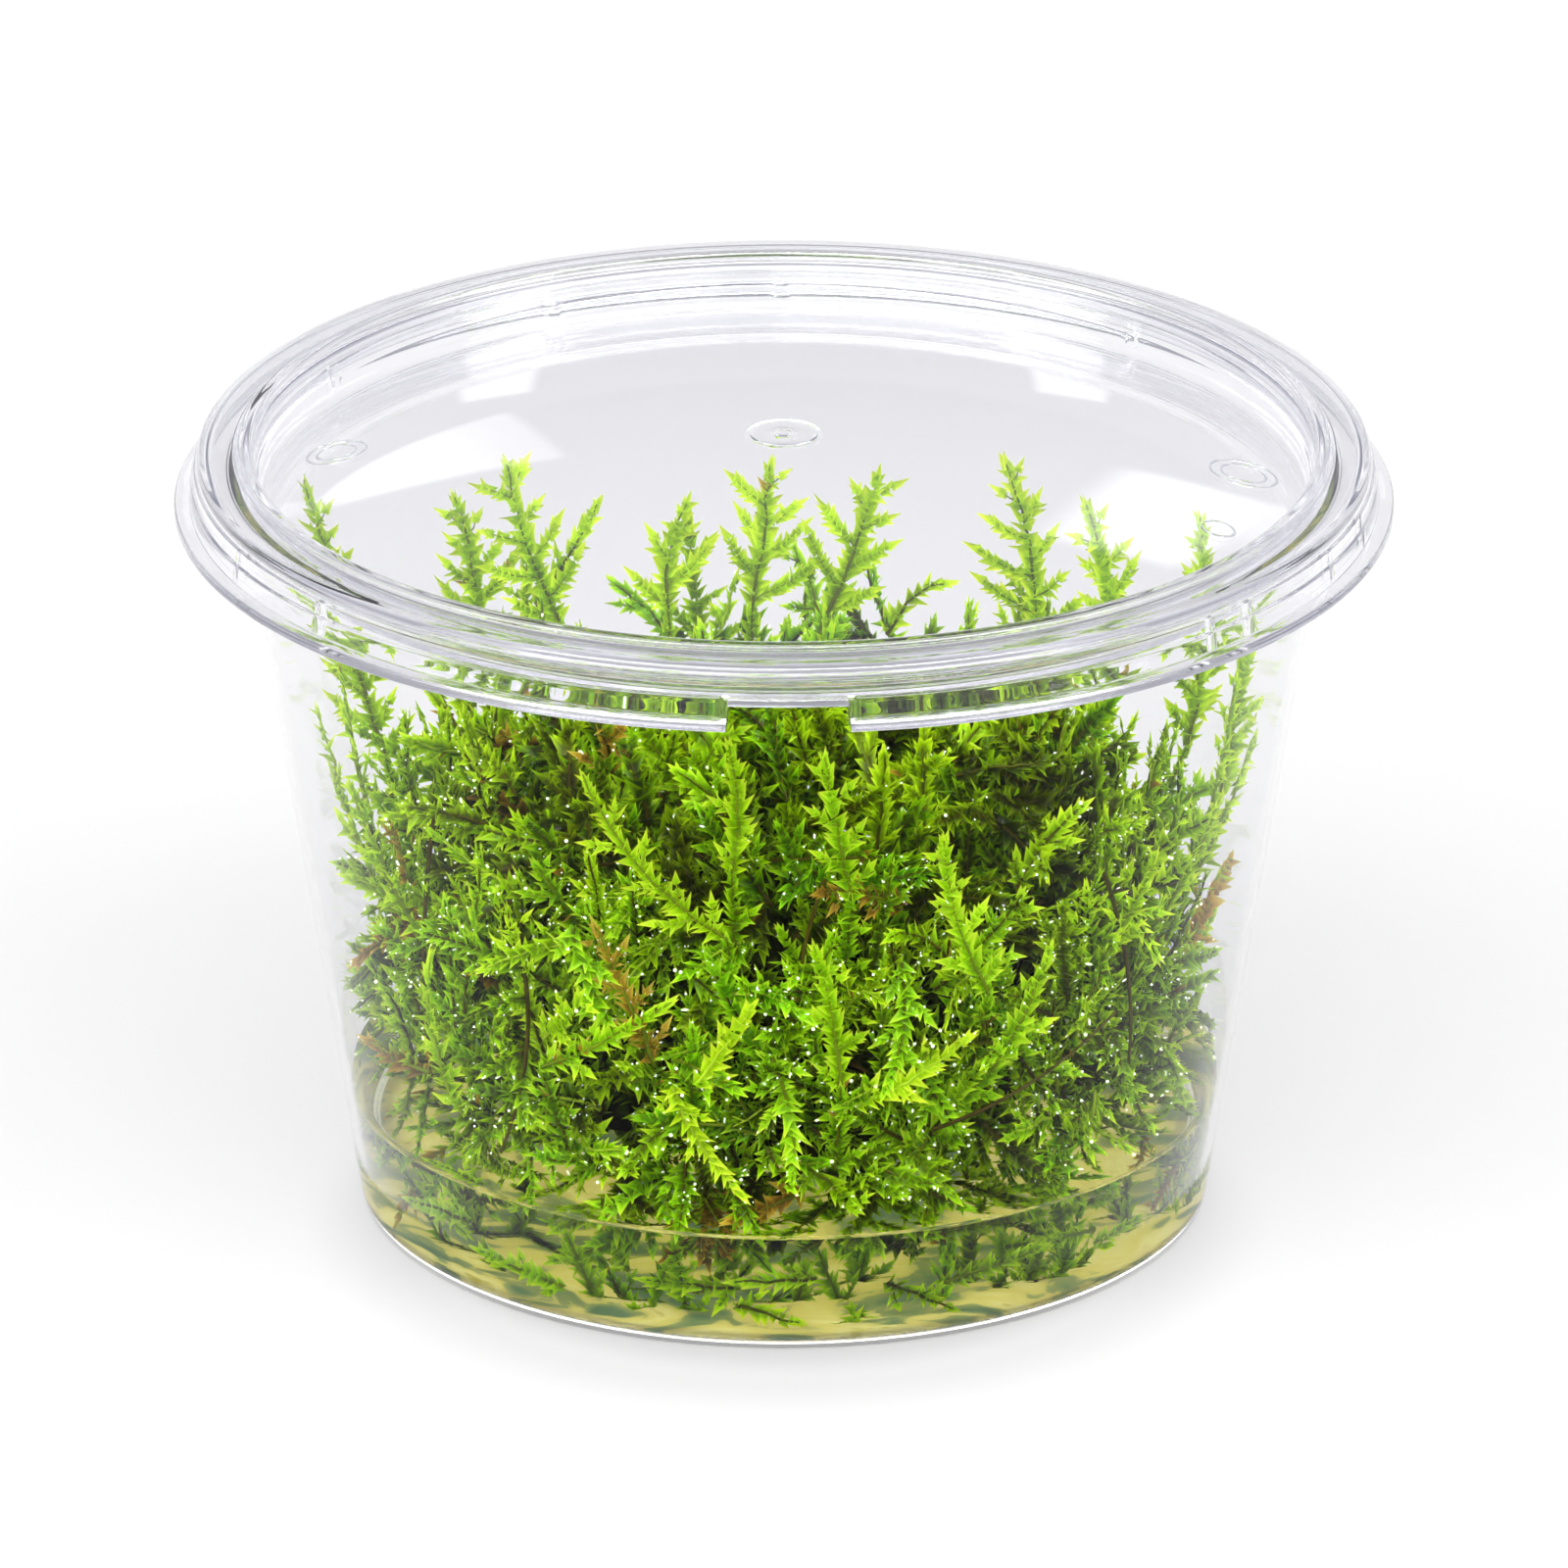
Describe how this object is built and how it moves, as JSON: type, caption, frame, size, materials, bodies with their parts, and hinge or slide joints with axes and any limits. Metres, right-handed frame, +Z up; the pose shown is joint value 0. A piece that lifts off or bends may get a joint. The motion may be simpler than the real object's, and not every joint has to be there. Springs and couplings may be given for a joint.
{
  "type": "moss clump in clear lidded cup",
  "caption": "Clump of leafy green moss standing in a shallow layer of liquid inside a clear tapered plastic cup with a clear press-on lid.",
  "frame": {"origin": "middle of the cup's flat base, on the surface it stands on", "axes": "+Z up through the cup's axis; -Y is the front, where the lid's flange has its notch; +X to the right of the front view"},
  "size_m": [0.1, 0.0998, 0.0666],
  "materials": {
    "cup_plastic": "clear, glossy, water-white moulded plastic",
    "lid_plastic": "clear, glossy moulded plastic with a faint violet tint at its edges",
    "liquid": "clear liquid with a pale yellow-green tint",
    "moss_mat": "soft tangled moss, dark green to brown inside",
    "moss_shoot": "soft moss leaves, bright yellow-green, slightly wet"
  },
  "bodies": {
    "root": {"cup": "cup_plastic", "lid": "lid_plastic", "liquid": "liquid", "moss_mat": "moss_mat", "shoot_back_01": "moss_shoot", "shoot_back_02": "moss_shoot", "shoot_back_03": "moss_shoot", "shoot_front_01": "moss_shoot", "shoot_front_02": "moss_shoot", "shoot_front_03": "moss_shoot", "shoot_front_04": "moss_shoot", "shoot_front_05": "moss_shoot", "shoot_front_06": "moss_shoot", "shoot_left_01": "moss_shoot", "shoot_left_02": "moss_shoot", "shoot_left_03": "moss_shoot", "shoot_right_01": "moss_shoot", "shoot_right_02": "moss_shoot", "shoot_right_03": "moss_shoot", "shoot_right_04": "moss_shoot", "shoot_top_01": "moss_shoot", "shoot_top_02": "moss_shoot", "shoot_top_03": "moss_shoot", "shoot_top_04": "moss_shoot", "shoot_top_05": "moss_shoot", "shoot_top_06": "moss_shoot", "shoot_top_07": "moss_shoot", "shoot_top_08": "moss_shoot", "shoot_top_09": "moss_shoot", "shoot_top_10": "moss_shoot"}
  },
  "joints": []
}
